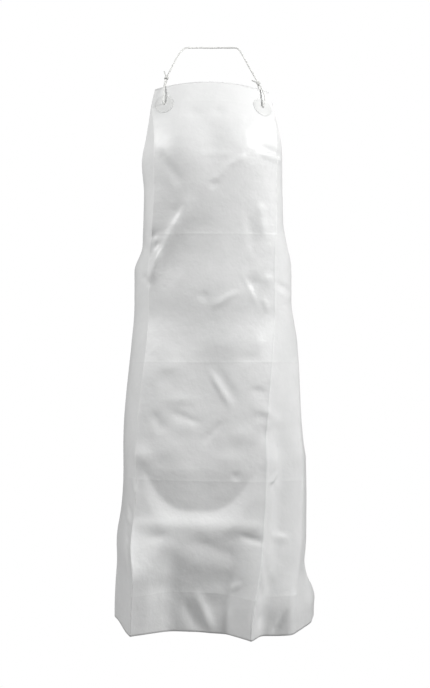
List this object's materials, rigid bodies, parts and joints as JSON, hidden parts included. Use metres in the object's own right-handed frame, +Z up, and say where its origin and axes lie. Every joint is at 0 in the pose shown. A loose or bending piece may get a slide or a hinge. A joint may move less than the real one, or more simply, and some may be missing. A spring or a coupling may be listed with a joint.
{
  "type": "butcher apron",
  "caption": "Full-length white vinyl bib apron, die-cut and unhemmed, hanging from a thin knotted neck cord through patched eyelets.",
  "frame": {"origin": "on the centre line of the neck cord at the nape of the neck, where the apron hangs", "axes": "+Z up, -Y out of the front of the apron, +X to the right of someone looking at the front"},
  "size_m": [0.4715, 0.3271, 1.3671],
  "materials": {
    "vinyl": "smooth satin",
    "welded_vinyl": "smooth satin, pressed at the weld",
    "cord": "braided, matt"
  },
  "bodies": {
    "neck_loop": {"neck_cord": "cord", "left_knot": "cord", "right_knot": "cord"},
    "apron": {"apron_panel": "vinyl", "left_neck_patch": "welded_vinyl", "right_neck_patch": "welded_vinyl", "left_waist_patch": "welded_vinyl", "right_waist_patch": "welded_vinyl", "left_eyelet_loop": "cord", "right_eyelet_loop": "cord"}
  },
  "joints": [
    {"name": "bib_swing", "type": "hinge", "parent": "neck_loop", "child": "apron", "pos_m": [-0.1015, -0.112, -0.089], "axis": [-0.9978, -0.0427, 0.0498], "range_deg": [-15, 90]}
  ]
}
